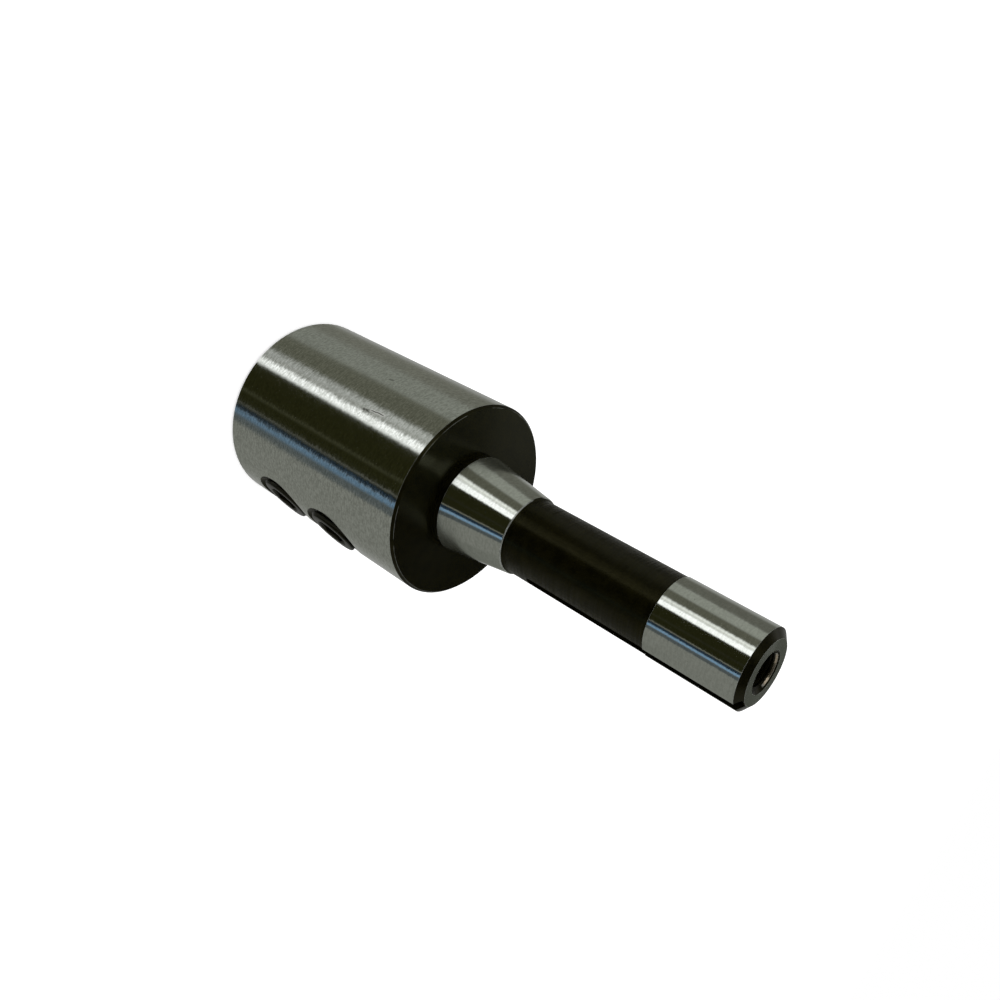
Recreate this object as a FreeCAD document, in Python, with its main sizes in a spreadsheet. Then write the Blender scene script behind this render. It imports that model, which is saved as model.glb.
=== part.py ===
import FreeCAD, Part
import Sketcher
import math
import os

# End mill holder: a turned and ground steel body with a cutter bore in its nose,
# a tapered machine shank on its back, and two socket set screws that clamp the cutter.
# It stands on its nose. +Z runs from the nose to the end of the shank.
# The set screws and the keyway face -Y. Lengths are in millimetres, angles in degrees.

SIZES = [
    # Body
    ("body_diameter", 63.5),
    ("body_length", 81.0),
    ("body_edge_chamfer", 0.8),
    # Bore for the cutter's shank
    ("bore_diameter", 31.75),
    ("bore_depth", 62.0),
    ("bore_mouth_chamfer", 1.0),
    ("bore_drill_diameter", 30.0),
    ("bore_drill_depth", 64.0),
    ("drill_point_angle", 118.0),
    # Shank
    ("neck_diameter", 30.2),
    ("neck_length", 1.5),
    ("taper_large_diameter", 31.75),
    ("taper_length", 22.5),
    ("taper_angle", 16.85),
    ("shank_length", 102.5),
    ("relief_diameter", 23.7),
    ("pilot_diameter", 24.1),
    ("pilot_length", 29.5),
    ("end_chamfer_length", 1.7),
    ("end_chamfer_depth", 2.4),
    # Keyway along the shank
    ("keyway_width", 3.97),
    ("keyway_depth", 2.4),
    ("keyway_length", 71.0),
    # Tapped hole for the drawbar
    ("drawbar_thread_diameter", 11.11),
    ("drawbar_thread_depth", 32.0),
    ("drawbar_drill_diameter", 9.92),
    ("drawbar_drill_depth", 38.0),
    ("drawbar_mouth_diameter", 12.8),
    ("drawbar_mouth_angle", 90.0),
    # Tapped cross holes for the set screws
    ("cross_thread_diameter", 19.05),
    ("cross_mouth_diameter", 23.2),
    ("cross_mouth_angle", 90.0),
    ("cross_hole_first", 21.5),
    ("cross_hole_spacing", 25.7),
    # Set screws
    ("thread_clearance", 0.05),
    ("screw_length", 12.7),
    ("screw_face_diameter", 16.6),
    ("screw_point_diameter", 13.4),
    ("screw_cup_diameter", 10.9),
    ("screw_cup_angle", 118.0),
    ("socket_flats", 9.525),
    ("socket_depth", 5.5),
    ("socket_floor_angle", 140.0),
    ("socket_mouth_diameter", 11.7),
    ("socket_mouth_angle", 120.0),
    # How far inside the body's surface line each screw stands; less than 0 stands proud
    ("front_screw_recess", 0.15),
    ("rear_screw_recess", -0.25),
]

# Places and radii that follow from the sizes
BODY_RADIUS = "Sizes.body_diameter / 2"
BORE_RADIUS = "Sizes.bore_diameter / 2"
NECK_RADIUS = "Sizes.neck_diameter / 2"
TAPER_RADIUS = "Sizes.taper_large_diameter / 2"
TAPER_END_RADIUS = f"({TAPER_RADIUS} - Sizes.taper_length * tan(Sizes.taper_angle / 2))"
RELIEF_RADIUS = "Sizes.relief_diameter / 2"
PILOT_RADIUS = "Sizes.pilot_diameter / 2"
NECK_TOP = "(Sizes.body_length + Sizes.neck_length)"
TAPER_START = f"({NECK_TOP} + {TAPER_RADIUS} - {NECK_RADIUS})"
TAPER_END = f"({TAPER_START} + Sizes.taper_length)"
SHANK_END = f"({TAPER_START} + Sizes.shank_length)"
PILOT_START = f"({SHANK_END} - Sizes.pilot_length)"
CROSS_RADIUS = "Sizes.cross_thread_diameter / 2"
SCREW_RADIUS = f"({CROSS_RADIUS} - Sizes.thread_clearance)"


def make_sheet(doc):
    sheet = doc.addObject("Spreadsheet::Sheet", "Sizes")
    for row, (alias, value) in enumerate(SIZES, start=1):
        sheet.set(f"A{row}", alias)
        sheet.set(f"B{row}", str(value))
        sheet.setAlias(f"B{row}", alias)
    doc.recompute()
    return sheet


def origin_feature(body, role):
    for feature in body.Origin.OriginFeatures:
        if feature.Role == role:
            return feature
    raise ValueError(f"{body.Label} has no {role}")


def make_sketch(body, plane, name):
    sketch = body.newObject("Sketcher::SketchObject", name)
    sketch.AttachmentSupport = (origin_feature(body, plane), [""])
    sketch.MapMode = "FlatFace"
    body.Document.recompute()
    return sketch


def pin_corner(sketch, line, end, axis, expression):
    # One coordinate of a corner: on the axis where it is zero, else a bound distance.
    if expression == "0":
        edge = -2 if axis == "X" else -1
        sketch.addConstraint(Sketcher.Constraint("PointOnObject", line, end, edge))
        return
    value = float(sketch.evalExpression(expression))
    place = sketch.addConstraint(Sketcher.Constraint(f"Distance{axis}", -1, 1, line, end, value))
    sketch.setExpression(f"Constraints[{place}]", expression)


def draw_outline(sketch, corners):
    # A closed outline of straight edges, each corner held by its own expressions.
    places = []
    for across, along in corners:
        x = float(sketch.evalExpression(across))
        y = float(sketch.evalExpression(along))
        places.append(FreeCAD.Vector(x, y, 0))
    count = len(places)
    first = sketch.GeometryCount
    for index, place in enumerate(places):
        sketch.addGeometry(Part.LineSegment(place, places[(index + 1) % count]), False)
    for index in range(count):
        line = first + index
        following = first + (index + 1) % count
        sketch.addConstraint(Sketcher.Constraint("Coincident", line, 2, following, 1))
    for index, (across, along) in enumerate(corners):
        pin_corner(sketch, first + index, 1, "X", across)
        pin_corner(sketch, first + index, 1, "Y", along)


def revolve(body, kind, sketch, axis, name):
    feature = body.newObject(f"PartDesign::{kind}", name)
    feature.Profile = sketch
    feature.ReferenceAxis = (sketch, [axis])
    feature.Angle = 360.0
    body.Document.recompute()
    return feature


def check_cut(before, feature):
    if not feature.Shape.Volume < before - 1.0:
        raise ValueError(f"{feature.Name} cuts nothing")
    return feature.Shape.Volume


def make_outside(body):
    sketch = make_sketch(body, "XZ_Plane", "OutsideProfile")
    draw_outline(sketch, [
        ("0", "0"),
        (f"{BODY_RADIUS} - Sizes.body_edge_chamfer", "0"),
        (BODY_RADIUS, "Sizes.body_edge_chamfer"),
        (BODY_RADIUS, "Sizes.body_length - Sizes.body_edge_chamfer"),
        (f"{BODY_RADIUS} - Sizes.body_edge_chamfer", "Sizes.body_length"),
        (NECK_RADIUS, "Sizes.body_length"),
        (NECK_RADIUS, NECK_TOP),
        (TAPER_RADIUS, TAPER_START),
        (TAPER_END_RADIUS, TAPER_END),
        (RELIEF_RADIUS, f"{TAPER_END} + {TAPER_END_RADIUS} - {RELIEF_RADIUS}"),
        (RELIEF_RADIUS, PILOT_START),
        (PILOT_RADIUS, f"{PILOT_START} + {PILOT_RADIUS} - {RELIEF_RADIUS}"),
        (PILOT_RADIUS, f"{SHANK_END} - Sizes.end_chamfer_length"),
        (f"{PILOT_RADIUS} - Sizes.end_chamfer_depth", SHANK_END),
        ("0", SHANK_END),
    ])
    return revolve(body, "Revolution", sketch, "V_Axis", "Outside")


def make_bore(body):
    drill_radius = "Sizes.bore_drill_diameter / 2"
    point = f"{drill_radius} / tan(Sizes.drill_point_angle / 2)"
    sketch = make_sketch(body, "XZ_Plane", "BoreProfile")
    draw_outline(sketch, [
        ("0", "0"),
        (f"{BORE_RADIUS} + Sizes.bore_mouth_chamfer", "0"),
        (BORE_RADIUS, "Sizes.bore_mouth_chamfer"),
        (BORE_RADIUS, "Sizes.bore_depth"),
        (drill_radius, "Sizes.bore_depth"),
        (drill_radius, "Sizes.bore_drill_depth"),
        ("0", f"Sizes.bore_drill_depth + {point}"),
    ])
    return revolve(body, "Groove", sketch, "V_Axis", "Bore")


def make_drawbar_hole(body):
    thread_radius = "Sizes.drawbar_thread_diameter / 2"
    drill_radius = "Sizes.drawbar_drill_diameter / 2"
    mouth_radius = "Sizes.drawbar_mouth_diameter / 2"
    mouth = f"({mouth_radius} - {thread_radius}) / tan(Sizes.drawbar_mouth_angle / 2)"
    point = f"{drill_radius} / tan(Sizes.drill_point_angle / 2)"
    sketch = make_sketch(body, "XZ_Plane", "DrawbarHoleProfile")
    draw_outline(sketch, [
        ("0", SHANK_END),
        (mouth_radius, SHANK_END),
        (thread_radius, f"{SHANK_END} - {mouth}"),
        (thread_radius, f"{SHANK_END} - Sizes.drawbar_thread_depth"),
        (drill_radius, f"{SHANK_END} - Sizes.drawbar_thread_depth"),
        (drill_radius, f"{SHANK_END} - Sizes.drawbar_drill_depth"),
        ("0", f"{SHANK_END} - Sizes.drawbar_drill_depth - {point}"),
    ])
    return revolve(body, "Groove", sketch, "V_Axis", "DrawbarHole")


def make_cross_holes(body):
    # One countersunk hole from the outside to the bore, repeated along the body.
    mouth_radius = "Sizes.cross_mouth_diameter / 2"
    slope = "tan(Sizes.cross_mouth_angle / 2)"
    mouth = f"({mouth_radius} - {CROSS_RADIUS}) / {slope}"
    height = "Sizes.cross_hole_first"
    beyond = "Sizes.body_edge_chamfer"
    sketch = make_sketch(body, "YZ_Plane", "CrossHoleProfile")
    draw_outline(sketch, [
        ("0", height),
        (f"-({BODY_RADIUS} + {beyond})", height),
        (f"-({BODY_RADIUS} + {beyond})", f"{height} + {mouth_radius} + {beyond} * {slope}"),
        (f"-({BODY_RADIUS} - {mouth})", f"{height} + {CROSS_RADIUS}"),
        ("0", f"{height} + {CROSS_RADIUS}"),
    ])
    hole = revolve(body, "Groove", sketch, "Edge1", "CrossHole")
    pair = body.newObject("PartDesign::LinearPattern", "CrossHoles")
    pair.Originals = [hole]
    pair.Direction = (origin_feature(body, "Z_Axis"), [""])
    pair.Occurrences = 2
    pair.setExpression("Length", "Sizes.cross_hole_spacing")
    body.Tip = pair
    body.Document.recompute()
    return hole, pair


def make_keyway(body):
    # A slot with a round inner end, cut outwards from its flat floor.
    half_width = "Sizes.keyway_width / 2"
    centre = f"{SHANK_END} - Sizes.keyway_length + {half_width}"
    top = f"{SHANK_END} + Sizes.keyway_width"
    sketch = make_sketch(body, "XZ_Plane", "KeywayOutline")
    sketch.setExpression("AttachmentOffset.Base.z", f"{PILOT_RADIUS} - Sizes.keyway_depth")
    radius = float(sketch.evalExpression(half_width))
    low = float(sketch.evalExpression(centre))
    high = float(sketch.evalExpression(top))
    middle = FreeCAD.Vector(0, low, 0)
    round_end = Part.Circle(middle, FreeCAD.Vector(0, 0, 1), radius)
    corners = [
        FreeCAD.Vector(radius, low, 0),
        FreeCAD.Vector(radius, high, 0),
        FreeCAD.Vector(-radius, high, 0),
        FreeCAD.Vector(-radius, low, 0),
    ]
    for start, end in zip(corners, corners[1:]):
        sketch.addGeometry(Part.LineSegment(start, end), False)
    arc = sketch.addGeometry(Part.ArcOfCircle(round_end, math.pi, 2 * math.pi), False)
    for line in (0, 1):
        sketch.addConstraint(Sketcher.Constraint("Coincident", line, 2, line + 1, 1))
    sketch.addConstraint(Sketcher.Constraint("Tangent", 2, 2, arc, 1))
    sketch.addConstraint(Sketcher.Constraint("Tangent", arc, 2, 0, 1))
    sketch.addConstraint(Sketcher.Constraint("Vertical", 0))
    sketch.addConstraint(Sketcher.Constraint("Horizontal", 1))
    sketch.addConstraint(Sketcher.Constraint("PointOnObject", arc, 3, -2))
    bound = [
        (Sketcher.Constraint("Radius", arc, radius), half_width),
        (Sketcher.Constraint("DistanceY", -1, 1, arc, 3, low), centre),
        (Sketcher.Constraint("DistanceY", -1, 1, 1, 1, high), top),
    ]
    for constraint, expression in bound:
        place = sketch.addConstraint(constraint)
        sketch.setExpression(f"Constraints[{place}]", expression)
    pocket = body.newObject("PartDesign::Pocket", "Keyway")
    pocket.Profile = sketch
    pocket.Type = "ThroughAll"
    pocket.Reversed = True
    body.Document.recompute()
    return pocket


def make_holder(doc):
    body = doc.addObject("PartDesign::Body", "Holder")
    body.Label = "holder"
    volume = make_outside(body).Shape.Volume
    volume = check_cut(volume, make_bore(body))
    volume = check_cut(volume, make_drawbar_hole(body))
    hole, pair = make_cross_holes(body)
    volume = check_cut(volume, hole)
    volume = check_cut(volume, pair)
    check_cut(volume, make_keyway(body))
    return body


def make_set_screw(doc, label, recess, height):
    # Built along its own +Z, with the socket face at zero, then turned to face -Y.
    face_radius = "Sizes.screw_face_diameter / 2"
    point_radius = "Sizes.screw_point_diameter / 2"
    cup_radius = "Sizes.screw_cup_diameter / 2"
    cup = f"{cup_radius} / tan(Sizes.screw_cup_angle / 2)"
    body = doc.addObject("PartDesign::Body", label.title().replace("_", ""))
    body.Label = label

    profile = make_sketch(body, "XZ_Plane", "ScrewProfile")
    draw_outline(profile, [
        ("0", "0"),
        (face_radius, "0"),
        (SCREW_RADIUS, f"-({SCREW_RADIUS} - {face_radius})"),
        (SCREW_RADIUS, f"-(Sizes.screw_length - {SCREW_RADIUS} + {point_radius})"),
        (point_radius, "-Sizes.screw_length"),
        (cup_radius, "-Sizes.screw_length"),
        ("0", f"-(Sizes.screw_length - {cup})"),
    ])
    volume = revolve(body, "Revolution", profile, "V_Axis", "ScrewTurned").Shape.Volume

    hexagon = make_sketch(body, "XY_Plane", "SocketHexagon")
    corner = "Sizes.socket_flats / sqrt(3)"
    angles = range(0, 360, 60)
    draw_outline(hexagon, [(f"{corner} * cos({a})", f"{corner} * sin({a})") for a in angles])
    socket = body.newObject("PartDesign::Pocket", "Socket")
    socket.Profile = hexagon
    socket.setExpression("Length", "Sizes.socket_depth")
    doc.recompute()
    volume = check_cut(volume, socket)

    # The coned floor below the hexagon, and the bevel round its mouth
    floor_radius = "Sizes.socket_flats / 2"
    mouth_radius = "Sizes.socket_mouth_diameter / 2"
    floor = make_sketch(body, "XZ_Plane", "SocketFloorProfile")
    draw_outline(floor, [
        ("0", "-Sizes.socket_depth"),
        (floor_radius, "-Sizes.socket_depth"),
        ("0", f"-(Sizes.socket_depth + {floor_radius} / tan(Sizes.socket_floor_angle / 2))"),
    ])
    volume = check_cut(volume, revolve(body, "Groove", floor, "V_Axis", "SocketFloor"))
    bevel = make_sketch(body, "XZ_Plane", "SocketMouthProfile")
    draw_outline(bevel, [
        ("0", "0"),
        (mouth_radius, "0"),
        ("0", f"-{mouth_radius} / tan(Sizes.socket_mouth_angle / 2)"),
    ])
    check_cut(volume, revolve(body, "Groove", bevel, "V_Axis", "SocketMouth"))

    turn = FreeCAD.Rotation(FreeCAD.Vector(1, 0, 0), 90)
    body.Placement = FreeCAD.Placement(FreeCAD.Vector(0, 0, 0), turn)
    body.setExpression("Placement.Base.y", f"-({BODY_RADIUS} - {recess})")
    body.setExpression("Placement.Base.z", height)
    doc.recompute()
    return body


def check_document(doc, parts):
    for item in doc.Objects:
        if "Invalid" in item.State or "Error" in item.State:
            raise ValueError(f"{item.Name} failed: {item.State}")
    for part in parts:
        if part.Shape.isNull() or not part.Shape.isValid():
            raise ValueError(f"{part.Label} has no valid shape")


def main():
    doc = FreeCAD.newDocument("EndMillHolder")
    make_sheet(doc)
    second = "Sizes.cross_hole_first + Sizes.cross_hole_spacing"
    parts = [
        make_holder(doc),
        make_set_screw(
            doc, "set_screw_front", "Sizes.front_screw_recess", "Sizes.cross_hole_first"
        ),
        make_set_screw(doc, "set_screw_rear", "Sizes.rear_screw_recess", second),
    ]
    check_document(doc, parts)
    os.makedirs("parts", exist_ok=True)
    for part in parts:
        part.Shape.exportStep(f"parts/{part.Label}.step")
        box = part.Shape.BoundBox
        print(part.Label, len(part.Shape.Solids), round(part.Shape.Volume, 2), box)


main()
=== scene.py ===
import math
from types import SimpleNamespace

import bpy
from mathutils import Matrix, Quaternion, Vector


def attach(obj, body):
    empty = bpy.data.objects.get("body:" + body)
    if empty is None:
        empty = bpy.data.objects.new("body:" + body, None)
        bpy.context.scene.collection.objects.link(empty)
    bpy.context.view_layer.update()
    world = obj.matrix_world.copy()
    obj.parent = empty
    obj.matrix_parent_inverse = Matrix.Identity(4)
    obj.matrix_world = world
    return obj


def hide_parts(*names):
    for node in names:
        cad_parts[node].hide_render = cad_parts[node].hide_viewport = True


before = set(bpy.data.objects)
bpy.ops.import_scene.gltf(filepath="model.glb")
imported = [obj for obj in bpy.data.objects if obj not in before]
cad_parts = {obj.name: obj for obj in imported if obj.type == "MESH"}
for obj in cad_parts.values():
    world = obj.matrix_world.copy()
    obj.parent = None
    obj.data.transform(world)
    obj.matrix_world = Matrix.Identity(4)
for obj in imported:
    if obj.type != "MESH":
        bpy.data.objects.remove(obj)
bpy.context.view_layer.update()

# The scene is in metres. Lengths below are in millimetres and angles in degrees.
MM = 0.001

# Camera: where the photographer stood, in metres, beside the holder standing on its nose.
# The shift is a share of the picture's width, and less than a pixel.
CAMERA_PLACE = Vector((-0.23322, -0.07303, 0.25589))
CAMERA_AZIMUTH = 288.62
CAMERA_ELEVATION = 34.027
CAMERA_ROLL = 119.22
CAMERA_LENS = 34.976
CAMERA_SENSOR = 36.0
CAMERA_SHIFT = (-0.0008, 0.0002)

# Holder
BODY_RADIUS = 31.75
BODY_HEIGHT = 81.0
BODY_CHAMFER = 0.8
BORE_RADIUS = 15.875
BORE_DEPTH = 62.0
BORE_CHAMFER = 1.0
NECK_RADIUS = 15.1
NECK_LENGTH = 1.5
TAPER_RADIUS = 15.875
TAPER_LENGTH = 22.5
TAPER_SLOPE = math.tan(math.radians(8.425))
TAPER_SMALL_RADIUS = TAPER_RADIUS - TAPER_LENGTH * TAPER_SLOPE
TAPER_START = BODY_HEIGHT + NECK_LENGTH + TAPER_RADIUS - NECK_RADIUS
TAPER_END = TAPER_START + TAPER_LENGTH
SHANK_END = TAPER_START + 102.5
RELIEF_RADIUS = 11.85
RELIEF_END = SHANK_END - 29.5
PILOT_RADIUS = 12.05
PILOT_START = RELIEF_END + PILOT_RADIUS - RELIEF_RADIUS
PILOT_END = SHANK_END - 1.7
END_FACE_RADIUS = PILOT_RADIUS - 2.4

# Set screws and their tapped holes
SCREW_HEIGHTS = {"front": 21.5, "rear": 47.2}
SCREW_FACES = {"front": -31.6, "rear": -32.0}
SCREW_LENGTH = 12.7
SCREW_PITCH = 1.5875
SCREW_CREST = 9.475
SCREW_ROOT = 8.6
SCREW_FACE_RADIUS = 8.3
SCREW_POINT_RADIUS = 6.7
SCREW_RUNOUT = 0.12
CUP_RADIUS = 5.45
CUP_DEPTH = 3.27
HEX_FLAT = 4.7625
HEX_DEPTH = 5.5
HEX_BEVEL_RADIUS = 5.85
HEX_BEVEL_SLOPE = math.tan(math.radians(30))
HEX_FLOOR_RADIUS = 4.6
HEX_FLOOR_DROP = 1.67
TIP_RADIUS = 0.02
HOLE_ROOT = 9.515
HOLE_CREST = 8.73
HOLE_OUTER = 9.6
HOLE_INNER_END = -10.0
COUNTERSINK_REACH = 20.15
SLEEVE_PROUD = 0.03

# Drawbar thread
DRAWBAR_PITCH = 1.27
DRAWBAR_WALL = 5.555
DRAWBAR_ROOT = 5.545
DRAWBAR_CREST = 4.96
DRAWBAR_OUTER = 5.6
DRAWBAR_MOUTH_RADIUS = 6.4
DRAWBAR_CONE_TOP = SHANK_END - (DRAWBAR_MOUTH_RADIUS - DRAWBAR_WALL)
DRAWBAR_TOP = DRAWBAR_CONE_TOP + 0.05
DRAWBAR_BOTTOM = 153.8

FLANK_SLOPE = math.tan(math.radians(30))
COLUMNS = 72
COLUMN_ANGLES = [2 * math.pi * number / COLUMNS for number in range(COLUMNS)]
SHARP_EDGE = 28

# Finish: colours and gloss of the ground steel
STEEL_DULL = (0.55, 0.575, 0.535)
STEEL_BRIGHT = (0.84, 0.87, 0.835)
STEEL_SPECK = (0.16, 0.16, 0.13)
# Brown-tinted painted highlight on one side of the drawbar hole's mouth
PAINTED_MOUTH_HIGHLIGHT = (0.72, 0.61, 0.48)
STEEL_ROUGHNESS = (0.12, 0.16)
GROUND_STREAK = 0.9
STREAK_TURN = 0.25

# Finish: colours and gloss of the black oxide
BLACK_DEEP = (0.0013, 0.0012, 0.0002)
BLACK_PALE = (0.0046, 0.0040, 0.0007)
BLACK_ROUGHNESS = (0.27, 0.36)
BLACK_GLOSS = (0.60, 0.57, 0.26)
BLACK_IOR = 1.45
SHOULDER_GLOSS = (0.96, 1.0, 0.5)
SHOULDER_ROUGHNESS = 0.2
RELIEF_ROUGHNESS = 0.27
SCREW_GLOSS = (0.72, 0.69, 0.50)
SCREW_IOR = 1.4

# Finish: how strongly the grain is felt, and how far the normal of a round surface is moved,
# where 1 is as far as the normal is long
BUMP_METRES = 0.00002
STEEL_BUMP = 0.04
BLACK_BUMP = 0.5
SCREW_BUMP = 0.4
LINE_WAVER = 0.02
SHANK_WAVER = 0.04
BODY_WAVER = 0.07
GROOVE_LEAN = 0.37
TAPER_FOOT_LEAN = 0.14
TAPER_FOOT_END = 90.5

# Marks of use on the body. Each follows a line from one point to another, laid on along X, so
# that X is 0 in both, and shows only where X is less than MARKED_SIDE.
SCRATCH = ((0.0, -0.35, 54.9), (0.0, 0.05, 60.0))
RUB = ((0.0, -1.2, 51.9), (0.0, -0.5, 56.0))
SPOT = ((0.0, 12.2, 49.3), (0.0, 12.6, 50.6))
MARK_WANDER = 0.8
MARK_DARK = (0.06, 0.06, 0.045)
MARK_PALE = (0.93, 0.94, 0.92)
MARKED_SIDE = -20.0

# The side of the drawbar hole's mouth that gets a painted highlight, as a direction out from the axis
PAINTED_HIGHLIGHT_SIDE = (0.81, 0.59, 0.0)


class Graph:
    """Makes shader nodes in one node tree, with short calls for the kinds this scene uses."""

    def __init__(self, tree):
        self.tree = tree

    def node(self, kind, **settings):
        made = self.tree.nodes.new(kind)
        for name, value in settings.items():
            setattr(made, name, value)
        return made

    def join(self, source, socket):
        if isinstance(source, bpy.types.NodeSocket):
            self.tree.links.new(source, socket)
        else:
            socket.default_value = source

    def math(self, operation, *values):
        made = self.node("ShaderNodeMath", operation=operation)
        for value, socket in zip(values, made.inputs):
            self.join(value, socket)
        return made.outputs[0]

    def vector(self, operation, *values, scale=None):
        made = self.node("ShaderNodeVectorMath", operation=operation)
        for value, socket in zip(values, made.inputs):
            self.join(value, socket)
        if scale is not None:
            self.join(scale, made.inputs["Scale"])
        return made.outputs["Value" if operation in ("LENGTH", "DOT_PRODUCT") else "Vector"]

    def step(self, value, low, high, bottom=0.0, top=1.0, smooth=True):
        """Goes from bottom to top as the value goes from low to high, and stays there outside."""
        made = self.node("ShaderNodeMapRange", clamp=True)
        made.interpolation_type = "SMOOTHSTEP" if smooth else "LINEAR"
        self.join(value, made.inputs["Value"])
        self.join(low, made.inputs["From Min"])
        self.join(high, made.inputs["From Max"])
        self.join(bottom, made.inputs["To Min"])
        self.join(top, made.inputs["To Max"])
        return made.outputs["Result"]

    def between(self, value, low, high, soft):
        """Is 1 from low to high and 0 outside, and changes over soft on each side of both."""
        rising = self.step(value, low - soft, low + soft)
        falling = self.step(value, high - soft, high + soft, 1.0, 0.0)
        return self.math("MULTIPLY", rising, falling)

    def mix(self, factor, first, second):
        made = self.node("ShaderNodeMix", data_type="FLOAT")
        self.join(factor, made.inputs[0])
        self.join(first, made.inputs[2])
        self.join(second, made.inputs[3])
        return made.outputs[0]

    def mix_colour(self, factor, first, second):
        made = self.node("ShaderNodeMix", data_type="RGBA")
        self.join(factor, made.inputs[0])
        self.join(first, made.inputs[6])
        self.join(second, made.inputs[7])
        return made.outputs[2]

    def mix_vector(self, factor, first, second):
        made = self.node("ShaderNodeMix", data_type="VECTOR")
        self.join(factor, made.inputs[0])
        self.join(first, made.inputs[4])
        self.join(second, made.inputs[5])
        return made.outputs[1]

    def noise(self, place, scale, detail=2.0, roughness=0.5, stretch=(1.0, 1.0, 1.0)):
        mapping = self.node("ShaderNodeMapping")
        self.join(place, mapping.inputs["Vector"])
        mapping.inputs["Scale"].default_value = stretch
        made = self.node("ShaderNodeTexNoise")
        self.join(mapping.outputs[0], made.inputs["Vector"])
        made.inputs["Scale"].default_value = scale
        made.inputs["Detail"].default_value = detail
        made.inputs["Roughness"].default_value = roughness
        return made.outputs[0]

    def away_from_line(self, place, start, end):
        """Distance from a place to the straight line between two points."""
        from_start = self.vector("SUBTRACT", place, start)
        along = Vector(end) - Vector(start)
        share = self.vector("DOT_PRODUCT", from_start, tuple(along / along.length_squared))
        share = self.step(share, 0.0, 1.0, smooth=False)
        nearest = self.vector("SCALE", tuple(along), scale=share)
        return self.vector("LENGTH", self.vector("SUBTRACT", from_start, nearest))

    def greatest(self, *values):
        result = values[0]
        for value in values[1:]:
            result = self.math("MAXIMUM", result, value)
        return result

    def product(self, *values):
        result = values[0]
        for value in values[1:]:
            result = self.math("MULTIPLY", result, value)
        return result


def colour(red, green, blue):
    return (red, green, blue, 1.0)


def new_material(name):
    material = bpy.data.materials.new(name)
    material.use_nodes = True
    material.node_tree.nodes.clear()
    graph = Graph(material.node_tree)
    output = graph.node("ShaderNodeOutputMaterial")
    shader = graph.node("ShaderNodeBsdfPrincipled")
    material.node_tree.links.new(shader.outputs[0], output.inputs["Surface"])
    return material, graph, shader


def black_oxide(graph, place):
    """Colour and roughness of oiled black oxide, mottled as the photo shows it, and its grain."""
    cloud = graph.noise(place, 260.0, 4.0, 0.6)
    grain = graph.noise(place, 2600.0, 2.0, 0.6)
    blend = graph.math("MULTIPLY_ADD", grain, 0.5, graph.math("MULTIPLY", cloud, 0.5))
    tone = graph.step(blend, 0.38, 0.62)
    base = graph.mix_colour(tone, colour(*BLACK_DEEP), colour(*BLACK_PALE))
    rough = graph.step(blend, 0.3, 0.7, *BLACK_ROUGHNESS)
    return base, rough, grain


def grain_bump(graph, strength, height):
    made = graph.node("ShaderNodeBump")
    made.inputs["Distance"].default_value = BUMP_METRES
    graph.join(strength, made.inputs["Strength"])
    graph.join(height, made.inputs["Height"])
    return made


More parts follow.
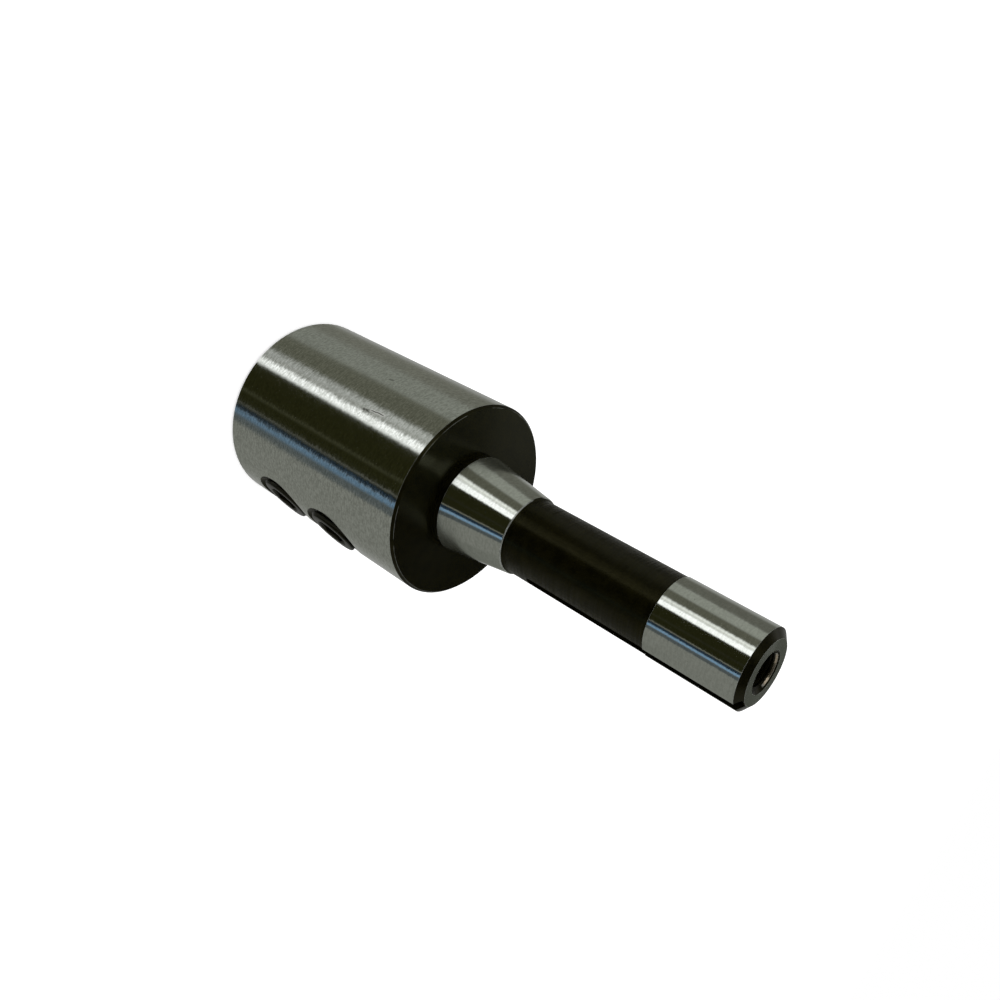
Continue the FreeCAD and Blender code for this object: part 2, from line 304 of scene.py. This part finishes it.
def holder_zones(graph, place):
    """Masks from 0 to 1 of the holder's surfaces, by their distance from the axis and their height."""
    axes = graph.node("ShaderNodeSeparateXYZ")
    graph.join(place, axes.inputs[0])
    radial = graph.node("ShaderNodeCombineXYZ")
    graph.join(axes.outputs[0], radial.inputs[0])
    graph.join(axes.outputs[1], radial.inputs[1])
    radius = graph.math("MULTIPLY", graph.vector("LENGTH", radial.outputs[0]), 1 / MM)
    height = graph.math("MULTIPLY", axes.outputs[2], 1 / MM)
    outward = graph.vector("NORMALIZE", radial.outputs[0])
    patches = graph.noise(place, 90.0, 3.0, 0.6)
    edge = 0.04

    # Ground surfaces
    wall = graph.product(
        graph.step(radius, BODY_RADIUS - 0.12, BODY_RADIUS - 0.06),
        graph.between(height, BODY_CHAMFER, BODY_HEIGHT - BODY_CHAMFER, edge),
    )
    taper = graph.product(
        graph.step(radius, TAPER_SMALL_RADIUS - 0.14, TAPER_SMALL_RADIUS - 0.09),
        graph.between(height, TAPER_START, TAPER_END, edge),
    )
    pilot = graph.product(
        graph.step(radius, PILOT_RADIUS - 0.12, PILOT_RADIUS - 0.06),
        graph.between(height, PILOT_START, PILOT_END, edge),
    )
    round_bright = graph.greatest(wall, taper, pilot)
    end_face = graph.product(
        graph.step(height, SHANK_END - 0.06, SHANK_END - 0.02),
        graph.between(radius, DRAWBAR_MOUTH_RADIUS, END_FACE_RADIUS, edge),
    )
    bore = graph.product(
        graph.between(radius, BORE_RADIUS - 0.2, BORE_RADIUS + 0.2, edge),
        graph.between(height, BORE_CHAMFER, BORE_DEPTH, edge),
    )

    # Painted highlights, drawn as bare bright steel: a brown-tinted one on one side of the drawbar
    # hole's mouth, and thin patchy rings along two edges
    highlight_side = graph.vector("DOT_PRODUCT", outward, PAINTED_HIGHLIGHT_SIDE)
    mouth = graph.product(
        graph.between(height, DRAWBAR_CONE_TOP - 0.02, SHANK_END - 0.40, 0.05),
        graph.step(radius, DRAWBAR_MOUTH_RADIUS, DRAWBAR_MOUTH_RADIUS + 0.05, 1.0, 0.0),
        graph.step(highlight_side, 0.52, 0.74),
    )
    rim = BODY_RADIUS - BODY_CHAMFER
    # Painted highlight: a thin, patchy ring of bright steel along the shoulder's rim, where the rounded
    # edge catches light
    shoulder_rim_highlight = graph.product(
        graph.between(radius, rim - 0.10, rim + 0.04, 0.03),
        graph.step(height, BODY_HEIGHT - 0.15, BODY_HEIGHT - 0.10),
        graph.step(patches, 0.46, 0.56, 0.0, 0.12),
    )
    # Painted highlight: a patchy ring of bright steel at the taper's small end, where its chamfer
    # catches light
    taper_end_highlight = graph.product(
        graph.between(height, TAPER_END - 0.02, TAPER_END + 0.25, 0.05),
        graph.step(patches, 0.40, 0.55, 0.0, 0.9),
    )

    # Black surfaces that differ from the other black ones
    shoulder = graph.product(
        graph.between(height, BODY_HEIGHT - 0.1, BODY_HEIGHT + 0.1, edge),
        graph.step(radius, NECK_RADIUS + 0.1, NECK_RADIUS + 0.2),
    )
    relief = graph.product(
        graph.step(radius, RELIEF_RADIUS - 0.15, RELIEF_RADIUS - 0.05),
        graph.between(height, TAPER_END + 0.75, RELIEF_END, edge),
    )
    return SimpleNamespace(
        across=axes.outputs[0],
        height=height,
        outward=outward,
        patches=patches,
        wall=wall,
        taper=taper,
        mouth=mouth,
        shoulder=shoulder,
        relief=relief,
        # bright also takes in the painted highlights at the mouth, the shoulder's rim and the taper's
        # end
        bright=graph.greatest(round_bright, end_face, bore, mouth, shoulder_rim_highlight, taper_end_highlight),
        turned=graph.math("MAXIMUM", round_bright, relief),
    )


def grinding(graph, place):
    """Noise that runs round the axis as the wheel did, and the finer tooth between its lines."""
    lines = graph.noise(place, 1.0, 2.0, 0.6, (330.0, 330.0, 2600.0))
    hair = graph.noise(place, 1.0, 2.0, 0.6, (620.0, 620.0, 1900.0))
    grit = graph.noise(place, 1400.0, 2.0, 0.6)
    tooth = graph.math("ADD", graph.math("MULTIPLY", hair, 0.6), graph.math("MULTIPLY", grit, 0.4))
    return lines, grit, tooth


def steel_colour(graph, place, zones, tooth):
    """Ground steel, grainier on the body than on the shank, with small dark specks in patches."""
    shank_tone = graph.step(tooth, 0.34, 0.66, 0.28, 0.72)
    tone = graph.mix(zones.wall, shank_tone, graph.step(tooth, 0.34, 0.66))
    steel = graph.mix_colour(tone, colour(*STEEL_DULL), colour(*STEEL_BRIGHT))
    # Painted highlight: brown-tinted bright steel on one side of the drawbar hole's mouth
    steel = graph.mix_colour(zones.mouth, steel, colour(*PAINTED_MOUTH_HIGHLIGHT))
    specks = graph.noise(place, 1.0, 2.0, 0.7, (1100.0, 1100.0, 2600.0))
    share = graph.product(graph.step(specks, 0.66, 0.74), graph.step(zones.patches, 0.40, 0.60), 0.6)
    return graph.mix_colour(share, steel, colour(*STEEL_SPECK))


def marks_of_use(graph, place, zones, grit, steel):
    """A short scratch with bright lips, and two faint rubs, on one side of the body."""
    wander = graph.node("ShaderNodeTexNoise")
    graph.join(place, wander.inputs["Vector"])
    wander.inputs["Scale"].default_value = 700.0
    wander.inputs["Detail"].default_value = 1.0
    jog = graph.vector("SUBTRACT", wander.outputs["Color"], (0.5, 0.5, 0.5))
    jog = graph.vector("SCALE", jog, scale=MARK_WANDER * MM)
    side_view = graph.vector("MULTIPLY", graph.vector("ADD", place, jog), (0.0, 1 / MM, 1 / MM))

    scratch = graph.away_from_line(side_view, *SCRATCH)
    rub = graph.away_from_line(side_view, *RUB)
    spot = graph.away_from_line(side_view, *SPOT)
    cut = graph.step(scratch, 0.10, 0.20, 1.0, 0.0)
    lips = graph.math("SUBTRACT", graph.step(scratch, 0.35, 0.60, 1.0, 0.0), cut)
    rubbed = graph.greatest(
        graph.math("MULTIPLY", graph.step(rub, 0.15, 0.75, 1.0, 0.0), graph.step(grit, 0.42, 0.58)),
        graph.math("MULTIPLY", graph.step(spot, 0.10, 0.45, 1.0, 0.0), 0.55),
    )
    side = graph.math("LESS_THAN", zones.across, MARKED_SIDE * MM)
    dark = graph.product(side, graph.math("MAXIMUM", cut, rubbed), 0.85)
    steel = graph.mix_colour(dark, steel, colour(*MARK_DARK))
    return graph.mix_colour(graph.product(side, lips, 0.9), steel, colour(*MARK_PALE))


def turned_normal(graph, place, zones, lines, tooth):
    """The true normal of the round surfaces, moved a little to each side from line to line.

    Next to the neck the taper's normal leans back, so that it doesn't mirror the black shoulder,
    and on the relief it leans to and fro between the two flanks of the fine turning grooves.
    """
    foot = graph.step(zones.height, TAPER_START, TAPER_FOOT_END, TAPER_FOOT_LEAN, 0.0)
    flank = graph.noise(place, 1.0, 1.0, 0.5, (60.0, 60.0, 26000.0))
    groove = graph.step(flank, 0.46, 0.54, -GROOVE_LEAN, GROOVE_LEAN)
    lean = graph.math("MULTIPLY", zones.taper, TAPER_SLOPE)
    lean = graph.math("ADD", lean, graph.math("MULTIPLY", zones.taper, foot))
    lean = graph.math("ADD", lean, graph.math("MULTIPLY", zones.relief, groove))
    lift = graph.node("ShaderNodeCombineXYZ")
    graph.join(lean, lift.inputs[2])

    sideways = graph.vector("CROSS_PRODUCT", (0.0, 0.0, 1.0), zones.outward)
    amount = graph.mix(zones.wall, SHANK_WAVER, BODY_WAVER)
    uneven = graph.math("MULTIPLY", graph.math("SUBTRACT", tooth, 0.5), amount)
    even = graph.math("MULTIPLY_ADD", lines, LINE_WAVER, -LINE_WAVER / 2)
    waver = graph.math("ADD", even, uneven)
    made = graph.vector("ADD", zones.outward, lift.outputs[0])
    made = graph.vector("ADD", made, graph.vector("SCALE", sideways, scale=waver))
    return graph.vector("NORMALIZE", made)


def holder_material():
    material, graph, shader = new_material("ground_steel_and_black_oxide")
    place = graph.node("ShaderNodeTexCoord").outputs["Object"]
    normal = graph.node("ShaderNodeNewGeometry").outputs["Normal"]
    zones = holder_zones(graph, place)
    lines, grit, tooth = grinding(graph, place)
    black, black_rough, grain = black_oxide(graph, place)

    steel = steel_colour(graph, place, zones, tooth)
    steel = marks_of_use(graph, place, zones, grit, steel)
    graph.join(graph.mix_colour(zones.bright, black, steel), shader.inputs["Base Color"])
    graph.join(zones.bright, shader.inputs["Metallic"])

    black_rough = graph.mix(zones.shoulder, black_rough, SHOULDER_ROUGHNESS)
    black_rough = graph.mix(zones.relief, black_rough, RELIEF_ROUGHNESS)
    steel_rough = graph.step(lines, 0.3, 0.7, *STEEL_ROUGHNESS)
    graph.join(graph.mix(zones.bright, black_rough, steel_rough), shader.inputs["Roughness"])

    gloss = graph.mix_colour(zones.shoulder, colour(*BLACK_GLOSS), colour(*SHOULDER_GLOSS))
    gloss = graph.mix_colour(zones.bright, gloss, colour(1.0, 1.0, 1.0))
    graph.join(gloss, shader.inputs["Specular Tint"])
    shader.inputs["IOR"].default_value = BLACK_IOR

    # Grinding lines run round the axis, so gloss spreads along it
    tangent = graph.node("ShaderNodeTangent", direction_type="RADIAL", axis="Z")
    graph.join(tangent.outputs[0], shader.inputs["Tangent"])
    shader.inputs["Anisotropic"].default_value = GROUND_STREAK
    shader.inputs["Anisotropic Rotation"].default_value = STREAK_TURN

    round_normal = turned_normal(graph, place, zones, lines, tooth)
    shaped = graph.vector("NORMALIZE", graph.mix_vector(zones.turned, normal, round_normal))
    depth = graph.mix(zones.bright, BLACK_BUMP, STEEL_BUMP)
    bump = grain_bump(graph, depth, graph.mix(zones.bright, grain, lines))
    graph.join(shaped, bump.inputs["Normal"])
    graph.join(bump.outputs[0], shader.inputs["Normal"])
    return material


def screw_material():
    material, graph, shader = new_material("black_screw_steel")
    place = graph.node("ShaderNodeTexCoord").outputs["Object"]
    black, rough, grain = black_oxide(graph, place)
    bump = grain_bump(graph, SCREW_BUMP, grain)
    shader.inputs["IOR"].default_value = SCREW_IOR
    shader.inputs["Specular Tint"].default_value = colour(*SCREW_GLOSS)
    graph.join(black, shader.inputs["Base Color"])
    graph.join(rough, shader.inputs["Roughness"])
    graph.join(bump.outputs[0], shader.inputs["Normal"])
    return material


def thread_radius(travel, pitch, root, crest):
    """Radius of a 60 degree thread at a point that is travel past the middle of a crest.

    For a hole the root is the larger radius and the crest the smaller one, and the middle
    of the root lies where a screw has its crest.
    """
    outer = max(root, crest)
    inner = min(root, crest)
    away = abs((travel / pitch + 0.5) % 1.0 - 0.5) * pitch
    drop = (away - pitch / 16) / FLANK_SLOPE
    return min(max(outer - drop, inner), outer)


def thread_steps(pitch, root, crest):
    """Where the corners of a thread's profile lie in one pitch, with a step on each flank."""
    top = pitch / 16
    foot = top + abs(root - crest) * FLANK_SLOPE
    middle = (top + foot) / 2
    return [-top, top, middle, foot, pitch - foot, pitch - middle]


def helix_travels(start, end, pitch, root, crest, turn):
    """Places along the axis, for the column at this part of a turn, from before start to after end."""
    corners = thread_steps(pitch, root, crest)
    first = math.floor(start / pitch) - 2
    last = math.ceil(end / pitch) + 1
    travels = []
    for number in range(first, last + 1):
        for corner in corners:
            travels.append((number + turn) * pitch + corner)
    return travels


def turn_about_z(angle):
    """Share of a pitch that a right-hand thread along Z has climbed at this angle."""
    return angle / (2 * math.pi)


def turn_about_y(angle):
    """The same for a thread along Y, whose angle goes from X to Z and so against the thread."""
    return 1.0 - angle / (2 * math.pi)


def thread_rings(turn_at, start, end, pitch, root, crest, trim, point):
    """Rings of points along a thread, one for each corner of its profile, from start to end.

    turn_at gives the share of a pitch at an angle, trim the radius that the thread's ends leave
    at a place, and point where a radius, an angle and a place along the axis lie in the part.
    """
    turns = [turn_at(angle) for angle in COLUMN_ANGLES]
    travels = [helix_travels(start, end, pitch, root, crest, turn) for turn in turns]
    rings = []
    for row in zip(*travels):
        ring = []
        for angle, turn, travel in zip(COLUMN_ANGLES, turns, row):
            place = min(max(travel, start), end)
            radius = thread_radius(place - turn * pitch, pitch, root, crest)
            ring.append(point(trim(radius, place), angle, place))
        rings.append(ring)
    return rings


def loft(name, rings, material, cap_first=True, cap_last=True, closed=False):
    """A mesh through rings of points, each with the same number of points."""
    count = len(rings[0])
    points = [point for ring in rings for point in ring]
    faces = []
    pairs = len(rings) if closed else len(rings) - 1
    for row in range(pairs):
        here = row * count
        there = ((row + 1) % len(rings)) * count
        for column in range(count):
            after = (column + 1) % count
            faces.append((here + column, here + after, there + after, there + column))
    if cap_first:
        faces.append(tuple(reversed(range(count))))
    if cap_last:
        start = (len(rings) - 1) * count
        faces.append(tuple(range(start, start + count)))
    mesh = bpy.data.meshes.new(name)
    mesh.from_pydata([tuple(value * MM for value in point) for point in points], [], faces)
    mesh.validate()
    mesh.shade_smooth()
    mesh.set_sharp_from_angle(angle=math.radians(SHARP_EDGE))
    mesh.materials.append(material)
    made = bpy.data.objects.new(name, mesh)
    bpy.context.collection.objects.link(made)
    return made


def hex_radius(angle):
    """Distance from the axis to the wall of the hexagon socket, with corners at 0, 60, 120 and so on."""
    turned = (angle + math.pi / 6) % (math.pi / 3) - math.pi / 6
    return HEX_FLAT / math.cos(math.pi / 6 - abs(turned))


def screw_point(label, radius, angle, depth):
    """A point of a set screw: depth is measured from its outer face inwards along +Y."""
    return (
        radius * math.cos(angle),
        SCREW_FACES[label] + depth,
        SCREW_HEIGHTS[label] + radius * math.sin(angle),
    )


def set_screw(label, material):
    face = SCREW_FACES[label]
    point_end = face + SCREW_LENGTH

    def ring(radius_at, depth_at):
        return [screw_point(label, radius_at(angle), angle, depth_at(angle)) for angle in COLUMN_ANGLES]

    def flat(radius, depth):
        return ring(lambda angle: radius, lambda angle: depth)

    def trim(radius, place):
        return min(radius, SCREW_FACE_RADIUS + (place - face), SCREW_POINT_RADIUS + (point_end - place))

    def point(radius, angle, place):
        return screw_point(label, radius, angle, place - face)

    rings = [
        flat(TIP_RADIUS, HEX_DEPTH + HEX_FLOOR_DROP),
        flat(HEX_FLOOR_RADIUS, HEX_DEPTH),
        ring(hex_radius, lambda angle: HEX_DEPTH),
        ring(hex_radius, lambda angle: HEX_BEVEL_SLOPE * (HEX_BEVEL_RADIUS - hex_radius(angle))),
        flat(HEX_BEVEL_RADIUS, 0.0),
        flat(SCREW_FACE_RADIUS - 0.15, 0.0),
    ]
    rings += thread_rings(
        turn_about_y,
        face + SCREW_RUNOUT,
        point_end - SCREW_RUNOUT,
        SCREW_PITCH,
        SCREW_ROOT,
        SCREW_CREST,
        trim,
        point,
    )
    rings += [
        flat(SCREW_POINT_RADIUS - 0.1, SCREW_LENGTH),
        flat(CUP_RADIUS, SCREW_LENGTH),
        flat(TIP_RADIUS, SCREW_LENGTH - CUP_DEPTH),
    ]
    made = loft("threaded_set_screw_" + label, rings, material)
    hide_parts("set_screw_" + label)
    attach(made, "set_screw_" + label)
    return made


def cross_hole_thread(label, material):
    """The thread in a cross hole: a thin sleeve let into the hole's wall."""
    start = -COUNTERSINK_REACH - HOLE_OUTER
    end = HOLE_INNER_END

    def trim(radius, place):
        return min(max(radius, -place - COUNTERSINK_REACH), HOLE_OUTER)

    def point(radius, angle, place):
        across = radius * math.cos(angle)
        bore_wall = -math.sqrt(max((BORE_RADIUS + SLEEVE_PROUD) ** 2 - across * across, 0.0))
        return (across, min(place, bore_wall), SCREW_HEIGHTS[label] + radius * math.sin(angle))

    rings = thread_rings(turn_about_y, start, end, SCREW_PITCH, HOLE_ROOT, HOLE_CREST, trim, point)
    for place in (end, start):
        rings.append([point(HOLE_OUTER, angle, place) for angle in COLUMN_ANGLES])
    made = loft("tapped_hole_thread_" + label, rings, material, False, False, True)
    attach(made, "holder")
    return made


def drawbar_thread(material):
    """The thread in the end of the shank: a thin sleeve let into the wall of the drawbar hole."""
    start = DRAWBAR_BOTTOM
    end = DRAWBAR_TOP

    def trim(radius, place):
        mouth = DRAWBAR_ROOT + place - DRAWBAR_CONE_TOP
        return min(max(radius, mouth), DRAWBAR_OUTER)

    def point(radius, angle, place):
        return (radius * math.cos(angle), radius * math.sin(angle), place)

    rings = thread_rings(
        turn_about_z, start, end, DRAWBAR_PITCH, DRAWBAR_ROOT, DRAWBAR_CREST, trim, point
    )
    for place in (end, start):
        rings.append([point(DRAWBAR_OUTER, angle, place) for angle in COLUMN_ANGLES])
    made = loft("drawbar_thread_in_shank", rings, material, False, False, True)
    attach(made, "holder")
    return made


# Studio round the object, as glossy surfaces see it. Each card has its left and right edges and
# its brightness at the lower height, where the body looks, the same at the upper height, where
# the shank looks, its tint and the softness of its edges. Edges are angles round the room from
# the camera's side, and heights are angles above the level.
ROOM = (0.215, 0.218, 0.196)
BACK_OF_ROOM = (0.39, 0.39, 0.38)
CEILING = (0.077, 0.081, 0.068)
CARDS_TURN = 1.2
CARDS = [
    ("far left wall", (-143.0, -107.0, 0.175), (-134.0, -91.0, 0.130), (1.0, 1.0, 0.84), 9.0),
    ("left screen", (-106.0, -73.5, 0.235), (-90.0, -63.0, 0.325), (0.97, 1.0, 0.88), 3.5),
    ("left gap", (-73.5, -46.0, 0.120), (-61.0, -40.0, 0.115), (1.0, 1.0, 0.76), 3.0),
    ("side of the main light", (-43.5, -30.5, 0.42), (-38.9, -29.0, 1.12), (0.99, 1.0, 0.96), 3.0),
    ("seam beside the main light", (-34.8, -31.5, 0.32), (-33.0, -31.0, 0.80), (1.0, 1.0, 0.93), 1.2),
    ("main light", (-29.6, -20.2, 1.18), (-28.5, -14.8, 1.41), (1.0, 1.0, 1.0), 2.2),
    ("black cloth at the camera", (-18.5, 42.6, 0.018), (-14.4, 36.6, 0.017), (1.0, 1.0, 0.33), 1.2),
    ("fold in the cloth", (16.5, 20.5, 0.045), (10.0, 14.0, 0.020), (1.0, 1.0, 0.55), 1.5),
    ("edge of the cloth", (34.4, 36.6, 0.110), (28.0, 30.4, 0.210), (1.0, 1.0, 0.85), 0.7),
    ("navy shadow", (38.0, 43.2, 0.014), (31.4, 37.2, 0.028), (0.45, 1.0, 1.75), 0.8),
    ("blue strip", (43.8, 50.6, 0.205), (37.5, 43.0, 0.350), (0.61, 1.0, 1.46), 0.9),
    ("right gap", (50.2, 60.6, 0.106), (43.0, 51.6, 0.092), (0.88, 1.0, 1.02), 1.0),
]
LOWER_HEIGHT = -41.0
UPPER_HEIGHT = -19.0

# Floor, in metres
FLOOR_HALF = 3.0
FLOOR_DROP = 0.00005
FLOOR_PAINT = (0.85, 0.85, 0.85)
FLOOR_GLOW = 0.5

# Above and below the cards, where flat faces and narrow edges look: left and right edges, bottom
# and top, colour and the softness of the left and right edges
HIGH_CARDS = [
    ("dark side of the room", 100.0, 183.7, 24.0, 95.0, (0.030, 0.030, 0.028), 0.8),
    ("dark part overhead", 0.0, 90.0, 55.0, 95.0, (0.045, 0.045, 0.040), 5.0),
    ("paler patch on the dark side", 92.0, 145.0, 24.0, 54.0, (0.240, 0.240, 0.220), 6.0),
    ("pale wall on the far left", 183.7, 300.0, 22.0, 38.5, (0.320, 0.320, 0.310), 0.8),
    ("window in the pale wall", 210.0, 222.0, 27.0, 34.0, (0.650, 0.650, 0.640), 4.0),
    ("foot of the pale wall", 195.0, 212.0, 2.0, 22.0, (0.250, 0.250, 0.240), 5.0),
    ("lamp overhead", 268.0, 330.0, 58.0, 78.0, (0.520, 0.520, 0.490), 5.0),
    ("small lamp", 308.0, 338.0, 40.0, 49.5, (1.800, 1.800, 1.700), 4.0),
    ("gap over the main light", 310.0, 352.0, 0.0, 38.0, (0.100, 0.100, 0.080), 3.0),
    ("gap under the main light", 310.0, 352.0, -95.0, -58.0, (0.060, 0.060, 0.040), 3.0),
    ("dark floor on the right", 40.0, 104.0, -95.0, -56.0, (0.070, 0.070, 0.055), 4.0),
    ("dark edge on the right", 96.0, 158.0, -34.0, -23.0, (0.160, 0.165, 0.145), 5.0),
]


def make_world():
    world = bpy.data.worlds.new("studio")
    bpy.context.scene.world = world
    world.use_nodes = True
    world.node_tree.nodes.clear()
    world.cycles.sampling_method = "NONE"
    graph = Graph(world.node_tree)
    direction = graph.node("ShaderNodeTexCoord").outputs["Generated"]
    axes = graph.node("ShaderNodeSeparateXYZ")
    graph.join(direction, axes.inputs[0])
    around = graph.math("ARCTAN2", axes.outputs[1], axes.outputs[0])
    around = graph.math("SUBTRACT", graph.math("DEGREES", around), CAMERA_AZIMUTH - 90.0 - CARDS_TURN)
    around = graph.math("WRAP", around, 180.0, -180.0)
    height = graph.math("DEGREES", graph.math("ARCSINE", axes.outputs[2]))

    behind = graph.math("ABSOLUTE", around)
    studio = graph.mix_colour(graph.step(behind, 120.0, 170.0), colour(*ROOM), colour(*BACK_OF_ROOM))
    for name, low, high, tint, soft in CARDS:
        left = graph.step(height, LOWER_HEIGHT, UPPER_HEIGHT, low[0], high[0], False)
        right = graph.step(height, LOWER_HEIGHT, UPPER_HEIGHT, low[1], high[1], False)
        glow = graph.step(height, LOWER_HEIGHT, UPPER_HEIGHT, low[2], high[2], False)
        rising = graph.step(graph.math("SUBTRACT", around, left), -soft, soft)
        falling = graph.step(graph.math("SUBTRACT", right, around), -soft, soft)
        paint = graph.node("ShaderNodeVectorMath", operation="SCALE", label=name)
        paint.inputs[0].default_value = tint
        graph.join(glow, paint.inputs["Scale"])
        studio = graph.mix_colour(graph.math("MULTIPLY", rising, falling), studio, paint.outputs[0])

    # Above them the dim ceiling and walls of the room
    brow = graph.step(behind, 125.0, 150.0, 14.0, 0.0)
    above = graph.step(graph.math("SUBTRACT", height, brow), 0.0, 12.0)
    studio = graph.mix_colour(above, studio, colour(*CEILING))
    full_turn = graph.math("WRAP", around, 360.0, 0.0)
    for name, left, right, bottom, top, shade, soft in HIGH_CARDS:
        inside = graph.math(
            "MULTIPLY",
            graph.between(full_turn, left, right, soft),
            graph.between(height, bottom, top, 2.0),
        )
        paint = graph.node("ShaderNodeRGB", label=name)
        paint.outputs[0].default_value = colour(*shade)
        studio = graph.mix_colour(inside, studio, paint.outputs[0])

    path = graph.node("ShaderNodeLightPath")
    seen = graph.mix_colour(path.outputs["Is Glossy Ray"], colour(1.0, 1.0, 1.0), studio)
    light = graph.node("ShaderNodeBackground")
    graph.join(seen, light.inputs["Color"])
    output = graph.node("ShaderNodeOutputWorld")
    world.node_tree.links.new(light.outputs[0], output.inputs["Surface"])


def make_floor():
    half = FLOOR_HALF
    mesh = bpy.data.meshes.new("floor")
    corners = [(-half, -half, 0.0), (half, -half, 0.0), (half, half, 0.0), (-half, half, 0.0)]
    mesh.from_pydata(corners, [], [(0, 1, 2, 3)])
    floor = bpy.data.objects.new("floor", mesh)
    bpy.context.collection.objects.link(floor)
    floor.location.z = -FLOOR_DROP

    # Metal mirrors the studio, which reaches below the floor
    floor.visible_glossy = False
    material = bpy.data.materials.new("pale_floor")
    material.use_nodes = True
    material.node_tree.nodes.clear()
    graph = Graph(material.node_tree)
    matt = graph.node("ShaderNodeBsdfDiffuse")
    matt.inputs["Color"].default_value = colour(*FLOOR_PAINT)
    glow = graph.node("ShaderNodeEmission")
    glow.inputs["Color"].default_value = colour(1.0, 1.0, 1.0)
    path = graph.node("ShaderNodeLightPath")
    strength = graph.math("MULTIPLY", path.outputs["Is Camera Ray"], FLOOR_GLOW)
    graph.join(strength, glow.inputs["Strength"])
    both = graph.node("ShaderNodeAddShader")
    graph.join(matt.outputs[0], both.inputs[0])
    graph.join(glow.outputs[0], both.inputs[1])
    output = graph.node("ShaderNodeOutputMaterial")
    graph.join(both.outputs[0], output.inputs["Surface"])
    mesh.materials.append(material)


def make_camera():
    data = bpy.data.cameras.new("photo_camera")
    data.lens = CAMERA_LENS
    data.sensor_width = CAMERA_SENSOR
    data.clip_start = 0.01
    data.clip_end = 50.0
    data.shift_x = CAMERA_SHIFT[0]
    data.shift_y = CAMERA_SHIFT[1]
    camera = bpy.data.objects.new("photo_camera", data)
    bpy.context.collection.objects.link(camera)
    azimuth = math.radians(CAMERA_AZIMUTH)
    elevation = math.radians(CAMERA_ELEVATION)
    level = math.cos(elevation)
    back = Vector((math.sin(azimuth) * level, -math.cos(azimuth) * level, math.sin(elevation)))
    upright = (-back).to_track_quat("-Z", "Y")
    roll = Quaternion((0.0, 0.0, 1.0), math.radians(CAMERA_ROLL))
    camera.rotation_mode = "QUATERNION"
    camera.rotation_quaternion = upright @ roll
    camera.location = CAMERA_PLACE
    bpy.context.scene.camera = camera


def dress(node_name, material):
    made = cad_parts[node_name]
    slots = made.data.materials
    for number in range(len(slots)):
        slots[number] = material
    if not slots:
        slots.append(material)


def main():
    make_camera()
    make_world()
    make_floor()
    steel = holder_material()
    screws = screw_material()
    dress("holder", steel)
    for label in ("front", "rear"):
        dress("set_screw_" + label, screws)
        set_screw(label, screws)
        cross_hole_thread(label, screws)
    drawbar_thread(screws)
    bpy.context.scene.view_settings.view_transform = "Standard"


main()
